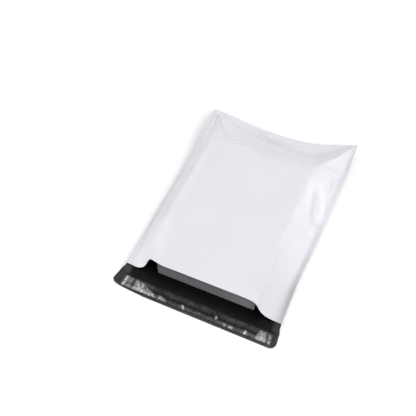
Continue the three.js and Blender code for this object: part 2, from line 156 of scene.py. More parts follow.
# ---------------------------------------------------------------- cloth solver
def solve(x, w, s, t, goal, pull, rounds, carton=None, floor=0.0, ceiling=None, bend=0.08, gravity=0.0, stretch=1.0):
    """Position-based film: x (rows, cols, 3) is moved so that the distances between grid
    points come back to those of the flat film. w is 0 where a point is held. pull is how far
    each point goes towards its goal in a round. Points stay out of the carton."""
    ds, dt = np.diff(s), np.diff(t)
    x = x.copy()

    def fix(a, b, rest, k):
        pa, pb, wa, wb = x[a], x[b], w[a], w[b]
        d = pb - pa
        n = np.sqrt((d * d).sum(-1)) + 1e-9
        c = k * (n - rest) / (n * (wa + wb + 1e-9))
        d *= c[..., None]
        x[a] = pa + d * wa[..., None]
        x[b] = pb - d * wb[..., None]

    rows, cols = w.shape
    J, I = slice(None), slice(None)
    groups = []
    for p in (0, 1):
        n = len(range(p, cols - 1, 2))
        a, b = (J, slice(p, cols - 1, 2)), (J, slice(p + 1, cols, 2))
        groups.append((a, b, np.broadcast_to(ds[p::2][None, :n], (rows, n)), stretch))
        m = len(range(p, rows - 1, 2))
        a, b = (slice(p, rows - 1, 2), I), (slice(p + 1, rows, 2), I)
        groups.append((a, b, np.broadcast_to(dt[p::2][:m, None], (m, cols)), stretch))
    diag = np.sqrt(ds[None, :] ** 2 + dt[:, None] ** 2)
    for p in (0, 1):
        j0, j1 = slice(p, rows - 1, 2), slice(p + 1, rows, 2)
        groups.append(((j0, slice(0, cols - 1)), (j1, slice(1, cols)), diag[p::2], stretch * 0.5))
        groups.append(((j0, slice(1, cols)), (j1, slice(0, cols - 1)), diag[p::2], stretch * 0.5))
    if bend:
        s2, t2 = s[2:] - s[:-2], t[2:] - t[:-2]
        for q in range(4):
            n = len(range(q, cols - 2, 4))
            if n:
                groups.append(((J, slice(q, cols - 2, 4)), (J, slice(q + 2, cols, 4)), np.broadcast_to(s2[q::4][None, :n], (rows, n)), bend))
            m = len(range(q, rows - 2, 4))
            if m:
                groups.append(((slice(q, rows - 2, 4), I), (slice(q + 2, rows, 4), I), np.broadcast_to(t2[q::4][:m, None], (m, cols)), bend))
    free = w > 0
    for r in range(rounds):
        if gravity:
            x[..., 2] -= gravity * free
        x += (goal - x) * (pull * free)[..., None]
        for a, b, rest, k in groups:
            fix(a, b, rest, k)
        if carton is not None:
            lo, hi = carton
            over = (x[..., 0] > lo[0]) & (x[..., 0] < hi[0]) & (x[..., 1] > lo[1]) & (x[..., 1] < hi[1]) & (x[..., 2] < hi[2]) & free
            if over.any():
                dz = hi[2] - x[..., 2]
                dl, dr = x[..., 0] - lo[0], hi[0] - x[..., 0]
                df = x[..., 1] - lo[1]
                best = np.minimum.reduce([dz, dl, dr, df])
                zz = over & (best == dz)
                x[..., 2] = np.where(zz, hi[2], x[..., 2])
                x[..., 0] = np.where(over & (best == dl) & ~zz, lo[0], np.where(over & (best == dr) & ~zz, hi[0], x[..., 0]))
                x[..., 1] = np.where(over & (best == df) & ~zz, lo[1], x[..., 1])
        if floor is not None:
            x[..., 2] = np.where(free, np.maximum(x[..., 2], floor), x[..., 2])
        if ceiling is not None:
            x[..., 2] = np.where(free, np.minimum(x[..., 2], ceiling), x[..., 2])
    return x



def smooth_noise(shape, size, seed):
    """Smooth random field, about -1 to 1, with features size cells across."""
    rng = np.random.default_rng(seed)
    n = (int(math.ceil(shape[0] / size[0])) + 3, int(math.ceil(shape[1] / size[1])) + 3)
    g = rng.uniform(-1, 1, n)
    y, x = np.arange(shape[0]) / size[0], np.arange(shape[1]) / size[1]
    yi, xi = y.astype(int), x.astype(int)
    fy, fx = y - yi, x - xi
    fy, fx = (fy * fy * (3 - 2 * fy))[:, None], (fx * fx * (3 - 2 * fx))[None, :]
    a, b = g[yi][:, xi], g[yi][:, xi + 1]
    c, d = g[yi + 1][:, xi], g[yi + 1][:, xi + 1]
    return (a * (1 - fx) + b * fx) * (1 - fy) + (c * (1 - fx) + d * fx) * fy




def polyline_near(sm, tm, line):
    """Distance from each grid point to a polyline in (s, t), and the fraction along it."""
    line = np.asarray(line, float)
    seg = np.diff(line, axis=0)
    ln = np.linalg.norm(seg, axis=1)
    acc = np.concatenate([[0], np.cumsum(ln)])
    best = np.full(sm.shape, 1e9)
    frac = np.zeros(sm.shape)
    for k in range(len(seg)):
        r = ((sm - line[k, 0]) * seg[k, 0] + (tm - line[k, 1]) * seg[k, 1]) / (ln[k] ** 2)
        r = np.clip(r, 0, 1)
        d = np.hypot(sm - line[k, 0] - r * seg[k, 0], tm - line[k, 1] - r * seg[k, 1])
        near = d < best
        best = np.where(near, d, best)
        frac = np.where(near, (acc[k] + r * ln[k]) / acc[-1], frac)
    return best, frac


# Creases of the front panel: (s, t) along the crease, plan positions along it, reach, strength
CREASES = [
    # from the carton's far right corner straight out to the raised corner
    ([(201, 79), (254, 0)], [(204.6, 80.8, 26.9), (222.0, 52.6, 25.4), (239.5, 25.2, 23.5), (256.8, -5.4, 21.6)], 2.6, 0.5),
    # from the carton's far left corner out to the other raised corner
    ([(46, 79.5), (28, 50), (14.5, 27), (6.5, 13), (1.5, 4)], [(46.2, 80, 27), (28.8, 50, 21.8), (17.0, 27, 17.2), (8.8, 13.4, 14.2), (4.0, 4.5, 12.2)], 2.6, 0.35),
    # valley where the slope beyond the carton touches down
    ([(58, 7), (78, 15.5), (105, 23), (132, 27), (168, 25.5), (196, 20), (222, 11)],
     [(58.5, 7.6, 3.6), (79, 16.6, 2.4), (105, 24.4, 1.4), (132, 28, 1.2), (168, 26.5, 1.4), (197, 20.5, 4.0), (224, 11.2, 11.2)], 2.4, 0.5),
    # foot of the left side's light band
    ([(30.5, 76), (31, 95), (31, 120), (31, 200), (30.6, 262)],
     [(30.6, 75, 23.6), (31.0, 95, 24.4), (31.3, 120, 25.0), (31.4, 200, 25.0), (31.2, 261, 24.2)], 2.2, 0.5),
]


def creases(sm, tm, goal, pull):
    for line, where, reach, strength in CREASES:
        d, f = polyline_near(sm, tm, line)
        w3 = np.asarray(where, float)
        step = np.concatenate([[0], np.cumsum(np.linalg.norm(np.diff(w3, axis=0), axis=1))])
        g = np.stack([np.interp(f, step / step[-1], w3[:, k]) for k in range(3)], -1)
        k = np.clip(1.3 - d / reach, 0, 1)
        goal = np.where((k > 0)[..., None], goal * (1 - k[..., None]) + g * k[..., None], goal)
        pull = np.maximum(pull, strength * k)
    return goal, pull


# Folds and wrinkles pressed into the settled panel: (s, t) along it, half width, height; the
# ends fade out. Positive is a ridge, negative a valley.
STROKES = [
    ([(218.3, 94.9), (225.6, 109.2), (231.4, 124.8), (235.4, 140.4), (239.7, 152.5), (247.1, 160.0), (255.5, 162.7)], 6.4, 3.2, 0.1),
    ([(214.8, 109.5), (221.2, 126.7), (225.3, 144.5), (227.6, 159.3), (235.5, 170.4), (246.9, 173.4), (255.5, 173.2)], 4.8, -2, 0.2),
    ([(233.1, 98.5), (241.9, 120.2), (251.3, 137.8), (255.4, 153.6)], 4.4, -0.7, 0.2),
    ([(221.9, 165.9), (228.1, 177.3), (236.6, 184.7), (249.3, 188.5)], 3.8, 1, 0.2),
    ([(247.9, 63.4), (249.4, 83.6), (249.5, 98.9)], 4, 2, 0.4),
    ([(237.8, 70.9), (239.8, 92.2), (243.0, 110.8)], 4.2, -1.4, 0.2),
    ([(228.8, 61.2), (236.7, 56.8), (244.6, 53.3)], 2.2, -0.35, 0.5),
    ([(205.3, 91.9), (210.1, 116.2), (212.2, 140.0)], 3.4, 0.6, 0.3),
    ([(158.3, 36.5), (171.1, 34.2), (190.9, 30.5), (208.6, 17.5), (227.7, 8.0)], 3.4, -1.5, 0.4),
    ([(182.8, 50.2), (204.3, 41.8), (224.3, 25.8), (242.7, 13.1)], 3.2, 1.2, 0.4),
    ([(162.4, 54.1), (174.5, 62.5), (186.6, 76.0)], 3, -0.4, 0.3),
    ([(253.2, 189.6), (248.8, 200.8), (239.6, 209.9)], 3, -0.7, 0.3),
    ([(255.5, 233.9), (249.2, 238.9), (239.4, 242.5)], 3, -0.6, 0.3),
    ([(255.5, 269.1), (249.0, 270.2), (237.2, 273.0)], 3, 0.6, 0.3),
    ([(47.6, 194.2), (63.6, 196.0), (79.8, 198.4)], 3, 0.28, 0.3),
    ([(165.3, 92.1), (181.2, 94.3), (197.6, 98.6)], 2.4, -0.4, 0.4),
    ([(162.6, 103.6), (179.7, 105.0), (194.8, 111.6)], 2.6, -0.25, 0.3),
    ([(2.6, 46.6), (12.6, 59.5), (27.4, 73.0)], 2.2, -0.9, 0.6),
    ([(36.1, 0.9), (51.9, 6.5), (74.6, 13.1), (95.4, 18.7), (117.3, 23.1), (134.1, 24.5), (152.3, 27.3), (170.0, 28.4), (186.2, 28.4)], 4.6, -1.6, 0.5),
    ([(53.9, 20.3), (71.4, 25.0), (93.0, 33.2), (113.3, 40.0), (132.2, 43.7), (150.2, 45.9), (167.8, 49.0), (182.8, 50.2)], 6, 2.8, 0.35),
    ([(94.1, 6.1), (123.0, 9.1), (148.5, 10.1), (172.4, 10.3)], 3.2, 0.7, 0.4),
    ([(34.1, 11.5), (50.3, 20.5), (68.7, 33.5)], 3.6, -0.8, 0.3),
]


def press(x, sm, tm):
    """Moves the panel along its own normals where the strokes run."""
    n = np.cross(np.gradient(x, axis=0), np.gradient(x, axis=1))
    n /= np.linalg.norm(n, axis=-1, keepdims=True) + 1e-9
    n *= np.sign(n[..., 2:3])
    for line, half, height, crisp in STROKES:
        d, f = polyline_near(sm, tm, line)
        r = np.clip(d / half, 0, 1)
        shape = crisp * (1 - r) ** 1.5 + (1 - crisp) * fall(r)
        fade = fall(1 - np.clip(f / 0.28, 0, 1)) * fall(1 - np.clip((1 - f) / 0.28, 0, 1))
        x = x + n * (height * shape * fade)[..., None]
    return x


def soften(x, amount, rounds):
    """Smooths the panel where amount is above 0."""
    k = (0.5 * amount)[1:-1, 1:-1, None]
    for _ in range(rounds):
        mean = (x[:-2, 1:-1] + x[2:, 1:-1] + x[1:-1, :-2] + x[1:-1, 2:]) / 4
        x = x.copy()
        x[1:-1, 1:-1] += (mean - x[1:-1, 1:-1]) * k
    return x


# the front panel's cut edge at the mouth, left to right in plan
LIP = np.array([
    [10.8, 338, 5.2], [15.8, 338.2, 5.8], [21, 338.9, 6.2], [27, 339.4, 6.5], [32.5, 338.6, 7.0], [37, 336, 8.2], [39.6, 333, 11.5],
    [41.2, 330.6, 16], [43.2, 329.4, 20.5], [46, 329.2, 24.6], [50, 330.1, 26.8], [55, 331.3, 27.15], [62, 332.6, 27.15], [92, 333.0, 27.1],
    [132, 333, 27.1], [168, 333, 27.1], [190, 333.0, 27.1], [198, 333.4, 27.1], [203.5, 334.0, 26.9], [207.6, 334.9, 25.6], [210.6, 335.8, 22.2],
    [213.6, 336.6, 17.2], [217.6, 337.3, 12.2], [223, 337.9, 8.4], [232, 338.3, 6.0], [242.6, 338, 4.6], [247.6, 338, 4]], float)


def lip_at(s):
    step = np.concatenate([[0], np.cumsum(np.linalg.norm(np.diff(LIP, axis=0), axis=1))])
    return catmull(step / step[-1], LIP, s / BAG_W)


def resample(x, s0, t0, s1, t1):
    a = catmull(t0, x, t1)
    return np.moveaxis(catmull(s0, np.moveaxis(a, 1, 0), s1), 0, 1)


def held(s, t):
    sm, tm = np.meshgrid(s, t)
    edge = np.minimum(sm, BAG_W - sm)
    w = np.clip((edge - 1.0) / 5, 0, 1) * np.clip(tm / 4, 0, 1) * np.clip((BAG_L - tm) / 4, 0, 1)
    side = fall((sm - 44) / 26)                          # the left side keeps a calm surface
    calm = np.clip((tm - 255) / 30, 0, 1) * fall((sm - 48) / 14)
    calm = np.maximum(calm, fall(np.hypot(sm - 214, tm - 84) / 34))
    calm = np.maximum(calm, 0.8 * fall(np.hypot(sm - 34, tm - 66) / 34))
    pull = 0.006 + 0.09 * side + 0.22 * calm + 0.25 * fall(edge / 9) + 0.25 * fall(tm / 5) + 0.2 * fall((BAG_L - tm) / 16)
    return sm, tm, w, pull


def relax_front(s, t):
    """Lets the front panel settle between its held edges and creases, coarse grid first."""
    box = (CARTON_LO - [0.25, 0.25, 0], CARTON_HI + [0.25, 0, 0.25])
    s0, t0, x = None, None, None
    for step, rounds, bend, shake in ((6.0, 260, 0.03, 0.35), (3.2, 110, 0.06, 0.0)):
        n, m = int(round(BAG_W / step)) + 1, int(round(BAG_L / step)) + 1
        s1, t1 = np.linspace(0, BAG_W, n), np.linspace(0, BAG_L, m)
        sm, tm, w, pull = held(s1, t1)
        goal = front_target(s1, t1)
        goal, pull = creases(sm, tm, goal, pull)
        x = goal.copy() if x is None else resample(x, s0, t0, s1, t1)
        if shake:
            x[..., 2] += shake * smooth_noise(x.shape[:2], (2.1, 2.4), 11) * w
        x = solve(x, w, s1, t1, goal, pull, rounds, box, 0.5, CARTON_HI[2] + 1.1, bend=bend, gravity=0.004, stretch=0.85)
        s0, t0 = s1, t1
    sm, tm, w, pull = held(s, t)
    goal, pull = creases(sm, tm, front_target(s, t), pull)
    y = resample(x, s0, t0, s, t)
    k = np.clip(1 - w, 0, 1)[..., None]
    y = y * (1 - k) + front_target(s, t) * k
    y = solve(y, w, s, t, goal, np.minimum(pull, 0.3) * 0.6, 14, box, 0.5, CARTON_HI[2] + 1.1, bend=0.25, stretch=0.5)
    # the two corners over the carton and the lobe by the mouth are drawn smooth
    calm = np.maximum(fall(np.hypot(sm - 206, tm - 80) / 26), fall(np.hypot(sm - 42, tm - 74) / 26))
    calm = np.maximum(calm, np.clip((tm - 262) / 20, 0, 1) * fall((sm - 42) / 12)) * w
    calm = np.maximum(calm, 0.9 * fall(np.hypot(sm - 232, tm - 60) / 24) * w)
    y = soften(y, calm, 16)
    y = press(y, sm, tm)
    y += (lip_at(s) - y[-1])[None] * fall((BAG_L - t) / 18)[:, None, None]
    y = soften(y, 0.5 * calm, 2)
    y[..., 2] = np.maximum(y[..., 2], 0.5)
    over = (y[..., 0] > box[0][0]) & (y[..., 0] < box[1][0]) & (y[..., 1] > box[0][1]) & (y[..., 1] < box[1][1])
    y[..., 2] = np.where(over, np.maximum(y[..., 2], box[1][2]), y[..., 2])
    return y

# where folds lie in their own shade or catch the light: line in (s, t), half width, amount, crispness
SHADES = [
    ([(218.1, 111.1), (223.5, 127.0), (226.4, 143.6), (229.0, 156.1), (234.1, 166.4), (243.2, 171.3), (253.6, 172.3)], 5.4, -0.13, 0.3),
    ([(220.4, 93.2), (226.7, 108.3), (235.7, 125.5), (241.7, 141.5), (246.7, 156.2), (250.9, 165.2)], 7.5, 0.11, 0.1),
    ([(204.5, 94.5), (208.7, 117.1), (215.0, 135.7), (216.2, 155.8)], 5, 0.035, 0),
    ([(237.8, 70.9), (241.3, 86.3), (240.7, 104.4), (239.5, 116.0)], 4.6, -0.06, 0.2),
    ([(223.6, 67.6), (233.5, 58.3), (247.3, 49.9)], 1.6, -0.06, 0.3),
    ([(245.5, 40.4), (250.0, 46.8), (251.3, 62.5)], 2, 0.06, 0.3),
    ([(235.9, 183.2), (239.1, 188.6), (239.5, 196.3)], 4.4, 0.035, 0),
    ([(249.0, 178.8), (247.6, 197.8), (245.6, 214.9)], 3.4, -0.05, 0.2),
    ([(15.0, 4.5), (40.9, 15.7), (62.1, 21.8), (90.1, 24.8), (119.3, 23.5), (151.0, 22.2), (178.6, 21.3)], 5.5, -0.065, 0.2),
    ([(6.4, 5.5), (18.8, 23.6), (32.4, 41.2), (49.4, 65.9)], 7, -0.085, 0.1),
    ([(224.1, 17.2), (235.4, 11.3), (245.6, 7.0), (250.8, 2.2)], 5.5, -0.085, 0.1),
    ([(47.6, 194.2), (63.6, 196.0), (79.8, 198.4)], 2.6, -0.02, 0.2),
    ([(165.3, 92.1), (181.2, 94.3), (197.6, 98.6)], 2.4, -0.03, 0.3),
]

# ---------------------------------------------------------------- camera
def plan(u, v, z=0.0):
    """Plan millimetres to the row frame's metres."""
    return Vector(((u - U0) / 1000, (V0 - v) / 1000, z / 1000))


def metres(p):
    """(..., 3) plan millimetres to metres in the row frame."""
    out = np.empty_like(p)
    out[..., 0] = (p[..., 0] - U0) / 1000
    out[..., 1] = (V0 - p[..., 1]) / 1000
    out[..., 2] = p[..., 2] / 1000
    return out


AZ, EL = math.radians(23.88), math.radians(53.354)
cam_data = bpy.data.cameras.new("camera")
cam_data.sensor_width = 36.0
cam_data.lens = 48.37
cam_data.clip_start, cam_data.clip_end = 0.05, 20
cam = bpy.data.objects.new("camera", cam_data)
bpy.context.scene.collection.objects.link(cam)
look = Vector((-math.sin(AZ) * math.cos(EL), math.cos(AZ) * math.cos(EL), -math.sin(EL)))
cam.rotation_euler = look.to_track_quat("-Z", "Y").to_euler()
cam.location = plan(288.1, 674.4, 701.9)
bpy.context.scene.camera = cam


# ---------------------------------------------------------------- small helpers
def mesh_object(name, verts, faces, mats=(), mat_index=None, smooth=True, uvs=None):
    me = bpy.data.meshes.new(name)
    verts = np.asarray(verts, np.float32)
    faces = np.asarray(faces, np.int32)
    me.vertices.add(len(verts))
    me.vertices.foreach_set("co", verts.ravel())
    k = faces.shape[1]
    me.loops.add(len(faces) * k)
    me.loops.foreach_set("vertex_index", faces.ravel())
    me.polygons.add(len(faces))
    me.polygons.foreach_set("loop_start", np.arange(0, len(faces) * k, k, dtype=np.int32))
    me.polygons.foreach_set("loop_total", np.full(len(faces), k, np.int32))
    for m in mats:
        me.materials.append(m)
    if mat_index is not None:
        me.polygons.foreach_set("material_index", np.asarray(mat_index, np.int32))
    me.polygons.foreach_set("use_smooth", np.full(len(faces), smooth, bool))
    if uvs is not None:
        layer = me.uv_layers.new(name="flat")
        layer.data.foreach_set("uv", np.asarray(uvs, np.float32)[faces.ravel()].ravel())
    me.update(calc_edges=True)
    me.validate()
    o = bpy.data.objects.new(name, me)
    bpy.context.scene.collection.objects.link(o)
    return o


def float_attribute(o, name, values):
    a = o.data.attributes.new(name, "FLOAT", "POINT")
    a.data.foreach_set("value", np.asarray(values, np.float32))


# ---------------------------------------------------------------- materials
def new_material(name, color, roughness, **sockets):
    m = bpy.data.materials.new(name)
    m.use_nodes = True
    nt = m.node_tree
    b = nt.nodes["Principled BSDF"]
    b.inputs["Base Color"].default_value = (*color, 1)
    b.inputs["Roughness"].default_value = roughness
    for k, v in sockets.items():
        b.inputs[k.replace("_", " ")].default_value = v
    return m, nt, b


def node(nt, kind, **values):
    n = nt.nodes.new(kind)
    for k, v in values.items():
        if hasattr(n, k) and not k[0].isupper():
            setattr(n, k, v)
        else:
            n.inputs[k.replace("_", " ")].default_value = v
    return n


def ramp(nt, stops, source):
    r = nt.nodes.new("ShaderNodeValToRGB")
    el = r.color_ramp.elements
    while len(el) < len(stops):
        el.new(0.5)
    for e, (pos, col) in zip(el, stops):
        e.position = pos
        e.color = (*col, 1) if len(col) == 3 else col
    nt.links.new(source, r.inputs[0])
    return r


def bump(nt, b, height, strength, distance):
    n = nt.nodes.new("ShaderNodeBump")
    n.inputs["Strength"].default_value = strength
    n.inputs["Distance"].default_value = distance
    nt.links.new(height, n.inputs["Height"])
    nt.links.new(n.outputs[0], b.inputs["Normal"])
    return n


def film_white():
    """White face of the film: satin, with a faint cloudy tone and fine die lines from extrusion."""
    m, nt, b = new_material("film_white", (0.72, 0.715, 0.75), 0.42, Specular_IOR_Level=0.45)
    co = nt.nodes.new("ShaderNodeTexCoord")
    cloud = node(nt, "ShaderNodeTexNoise", Scale=26.0, Detail=5.0, Roughness=0.62)
    nt.links.new(co.outputs["Object"], cloud.inputs["Vector"])
    tone = ramp(nt, [(0.3, (0.685, 0.681, 0.718)), (0.7, (0.715, 0.711, 0.748))], cloud.outputs["Fac"])
    # the tone attribute: darker along the side seams, with painted light and painted shade on the slopes, along the
    # right seam and in the folds
    painted_light_tone = nt.nodes.new("ShaderNodeAttribute")
    painted_light_tone.attribute_name = "tone"
    grey = nt.nodes.new("ShaderNodeVectorMath")
    grey.operation = "SCALE"
    nt.links.new(tone.outputs["Color"], grey.inputs[0])
    nt.links.new(painted_light_tone.outputs["Fac"], grey.inputs["Scale"])
    nt.links.new(grey.outputs[0], b.inputs["Base Color"])
    stretch = node(nt, "ShaderNodeMapping")
    stretch.inputs["Scale"].default_value = (900.0, 30.0, 30.0)
    nt.links.new(co.outputs["Object"], stretch.inputs["Vector"])
    die = node(nt, "ShaderNodeTexNoise", Scale=1.0, Detail=3.0, Roughness=0.5)
    nt.links.new(stretch.outputs[0], die.inputs["Vector"])
    rough = node(nt, "ShaderNodeMapRange")
    rough.inputs["To Min"].default_value, rough.inputs["To Max"].default_value = 0.36, 0.5
    nt.links.new(cloud.outputs["Fac"], rough.inputs["Value"])
    nt.links.new(rough.outputs[0], b.inputs["Roughness"])
    crumple = node(nt, "ShaderNodeTexNoise", Scale=95.0, Detail=4.0, Roughness=0.55)
    nt.links.new(co.outputs["Object"], crumple.inputs["Vector"])
    mix = node(nt, "ShaderNodeMath", operation="MULTIPLY_ADD")
    mix.inputs[1].default_value = 0.12
    nt.links.new(die.outputs["Fac"], mix.inputs[0])
    nt.links.new(crumple.outputs["Fac"], mix.inputs[2])
    bump(nt, b, mix.outputs[0], 0.35, 0.0005)
    return m


def film_black():
    """Black inner face of the film: the same satin, nearly black; the tone attribute darkens it inside the mouth as
    painted shade and greys it on the flap, where light grazes it, as painted light.
    """
    m, nt, b = new_material("film_black", (0.012, 0.012, 0.013), 0.34, Specular_IOR_Level=0.1)
    co = nt.nodes.new("ShaderNodeTexCoord")
    cloud = node(nt, "ShaderNodeTexNoise", Scale=60.0, Detail=5.0, Roughness=0.6)
    nt.links.new(co.outputs["Object"], cloud.inputs["Vector"])
    tone = ramp(nt, [(0.35, (0.7, 0.7, 0.71)), (0.7, (1.25, 1.25, 1.27))], cloud.outputs["Fac"])
    # the tone attribute: painted shade inside the mouth, painted light on the flap
    painted_light_tone = nt.nodes.new("ShaderNodeAttribute")
    painted_light_tone.attribute_name = "tone"
    grey = nt.nodes.new("ShaderNodeVectorMath")
    grey.operation = "SCALE"
    nt.links.new(tone.outputs["Color"], grey.inputs[0])
    nt.links.new(painted_light_tone.outputs["Fac"], grey.inputs["Scale"])
    nt.links.new(grey.outputs[0], b.inputs["Base Color"])
    rough = node(nt, "ShaderNodeMapRange")
    rough.inputs["To Min"].default_value, rough.inputs["To Max"].default_value = 0.28, 0.44
    nt.links.new(cloud.outputs["Fac"], rough.inputs["Value"])
    nt.links.new(rough.outputs[0], b.inputs["Roughness"])
    crumple = node(nt, "ShaderNodeTexNoise", Scale=160.0, Detail=4.0, Roughness=0.6)
    nt.links.new(co.outputs["Object"], crumple.inputs["Vector"])
    bump(nt, b, crumple.outputs["Fac"], 0.45, 0.0004)
    return m


WHITE, BLACK = film_white(), film_black()

# ---------------------------------------------------------------- the film
s = lines([(0, 5, 1.7), (5, 58, 1.75), (58, 70, 2.4), (70, 190, 3.5), (190, 204, 2.0), (204, 249, 1.55), (249, 254, 1.3)])
t = lines([(0, 60, 1.4), (60, 88, 1.9), (88, 300, 2.7), (300, 338, 1.6)])

front = relax_front(s, t)
back = back_target(front, s)

# flap rows: left u, right u and v down the flap, its corners worn round
FLAP_T = np.array([0, 7, 13, 20, 27, 31.6, 34.8, 36.6, 37.5])
FLAP_L = np.array([10.8, 7.6, 5.6, 4.0, 3.0, 5.2, 11.0, 16.5, 22.0])
FLAP_R = np.array([247.6, 247.9, 249.8, 250.3, 250.9, 250.2, 248.4, 246.0, 243.5])
FLAP_V = np.array([338, 345, 351, 358, 365, 369.6, 372.6, 374.6, 375.5])
ft = lines([(0, 30, 1.6), (30, 37.5, 1.0)])[1:]
THICK = 0.12
jm, ni = len(t) - 1, len(s)
iL, iR = int(np.argmin(abs(s - SEAL))), int(np.argmin(abs(s - (BAG_W - SEAL))))

ul, ur, vv = (monotone(FLAP_T, a, ft) for a in (FLAP_L, FLAP_R, FLAP_V))
flat = (s / BAG_W)[None, :]
flap = np.empty((len(ft), ni, 3))
flap[..., 0] = ul[:, None] + (ur - ul)[:, None] * flat
flap[..., 1] = vv[:, None] - 2.1 * np.clip(1 - flat * BAG_W / 40, 0, 1) * np.clip((ft[:, None] - 24) / 13.5, 0, 1)
# blend out of the mouth row, so that no point jumps across the hinge line
hinge = fall(ft / 9.0)[:, None]
mouth_row = back[jm]
flap[..., 0] = flap[..., 0] * (1 - hinge) + mouth_row[None, :, 0] * hinge
flap[..., 2] = mouth_row[None, :, 2] * fall(ft / 16.0)[:, None]
# back panel's own plan near the mouth: straight across, though the front panel's edge is not
vb = np.interp(t, T_KNOTS, [0, 5, 14, 27, 50, 80.6, 110, 160, 210, 260, 300, 320, 338])
k = np.clip((t - 290) / 40, 0, 1)[:, None]
inside = np.clip(np.minimum(s - SEAL, BAG_W - SEAL - s) / 6, 0, 1)[None, :]
back[..., 1] = back[..., 1] * (1 - k * inside) + vb[:, None] * k * inside
back[..., 2] = np.maximum(back[..., 2], 0.0)


def normals(p):
    du = np.gradient(p, axis=1)
    dv = np.gradient(p, axis=0)
    n = np.cross(dv, du)
    return n / (np.linalg.norm(n, axis=-1, keepdims=True) + 1e-9)


# outer and inner faces of each panel; where two layers are welded they share one solid wall
web = np.concatenate([back, flap])                       # back panel and flap, one surface
nf, nb = normals(front), normals(web)
nf *= np.sign(nf[..., 2:3] + 1e-12) ; nb *= np.sign(nb[..., 2:3] + 1e-12)
BO = web + [0, 0, 0.02]
BI = web + nb * THICK + [0, 0, 0.02]
TO = front + nf * THICK
TI = front - nf * 0.13
over = (front[..., 0] > CARTON_LO[0] - 1) & (front[..., 0] < CARTON_HI[0] + 1) & (front[..., 1] > CARTON_LO[1] - 1)
TI[..., 2] = np.where(over & (front[..., 2] > CARTON_HI[2]), np.maximum(TI[..., 2], CARTON_HI[2] + 0.03), TI[..., 2])
gap = 2 * THICK + 0.04
low = BO[: jm + 1, :, 2] + gap                           # the front panel never dips into the back one
TO[..., 2] = np.maximum(TO[..., 2], low + THICK * 0.2)
TI[..., 2] = np.maximum(np.minimum(TI[..., 2], TO[..., 2] - THICK * 0.8), BI[: jm + 1, :, 2] + 0.02)
for j in (0,):
    TO[j, :, :2] = BO[j, :, :2]
for i in list(range(0, iL + 1)) + list(range(iR, ni)):
    TO[:, i, :2] = BO[: jm + 1, i, :2]
    TO[:, i, 2] = BO[: jm + 1, i, 2] + gap
    TI[:, i, :2] = BO[: jm + 1, i, :2]
    TI[:, i, 2] = (BI[: jm + 1, i, 2] + TO[:, i, 2]) / 2 + 0.01
faces, mi = [], []
rows_all = len(BO)
idx = lambda off, cols: (lambda j, i: off + j * cols + i)
n0 = 0
vTO = idx(0, ni); n0 += (jm + 1) * ni
vTI = idx(n0, ni); n0 += (jm + 1) * ni
vBI = idx(n0, ni); n0 += rows_all * ni
vBO = idx(n0, ni); n0 += rows_all * ni
P = np.concatenate([TO.reshape(-1, 3), TI.reshape(-1, 3), BI.reshape(-1, 3), BO.reshape(-1, 3)])
sv, tv = np.meshgrid(s, t)
sb, tb = np.meshgrid(s, np.concatenate([t, BAG_L + ft]))
UVs = np.concatenate([np.stack([sv, -tv], -1).reshape(-1, 2)] * 2 + [np.stack([sb, tb], -1).reshape(-1, 2)] * 2) / 1000


def grid_faces(f, j0, j1, i0, i1, flip, m):
    j, i = np.meshgrid(np.arange(j0, j1), np.arange(i0, i1), indexing="ij")
    q = np.stack([f(j, i), f(j + 1, i), f(j + 1, i + 1), f(j, i + 1)], -1).reshape(-1, 4)
    faces.append(q[:, [0, 3, 2, 1]] if flip else q)
    mi.append(np.full(len(q), m))


def strip_faces(a, b, flip, m):
    """quads between two equally long lists of vertices"""
    a, b = np.asarray(a), np.asarray(b)
    q = np.stack([a[:-1], a[1:], b[1:], b[:-1]], -1)
    faces.append(q[:, [0, 3, 2, 1]] if flip else q)
    mi.append(np.full(len(q), m))


jj, ii, ja = np.arange(jm + 1), np.arange(ni), np.arange(rows_all)
grid_faces(vTO, 0, jm, 0, ni - 1, False, 0)
grid_faces(vBO, 0, rows_all - 1, 0, ni - 1, True, 0)
grid_faces(vTI, 1, jm, iL, iR, True, 1)
grid_faces(vBI, 1, jm, iL, iR, False, 1)
grid_faces(vBI, jm, rows_all - 1, 0, ni - 1, False, 1)
z_ = np.zeros_like
strip_faces(vTO(jj[:jm], z_(jj[:jm])), vBO(jj[:jm], z_(jj[:jm])), True, 0)
strip_faces(vTO(jj[:jm], z_(jj[:jm]) + ni - 1), vBO(jj[:jm], z_(jj[:jm]) + ni - 1), False, 0)
fj = np.arange(jm, rows_all)
strip_faces(vBI(fj, z_(fj)), vBO(fj, z_(fj)), True, 0)
strip_faces(vBI(fj, z_(fj) + ni - 1), vBO(fj, z_(fj) + ni - 1), False, 0)
strip_faces(vTO(z_(ii), ii), vBO(z_(ii), ii), False, 0)
strip_faces(vBI(z_(ii) + rows_all - 1, ii), vBO(z_(ii) + rows_all - 1, ii), True, 0)
hj = np.arange(1, jm + 1)
strip_faces(vTI(hj, z_(hj) + iL), vBI(hj, z_(hj) + iL), False, 1)
strip_faces(vTI(hj, z_(hj) + iR), vBI(hj, z_(hj) + iR), True, 1)
hi = np.arange(iL, iR + 1)
strip_faces(vTI(z_(hi) + 1, hi), vBI(z_(hi) + 1, hi), True, 1)
strip_faces(vTO(z_(hi) + jm, hi), vTI(z_(hi) + jm, hi), True, 0)
for part in (np.arange(0, iL + 1), np.arange(iR, ni)):
    strip_faces(vTO(z_(part) + jm, part), vBI(z_(part) + jm, part), True, 0)
quads = np.concatenate(faces)
mat_ix = np.concatenate(mi)
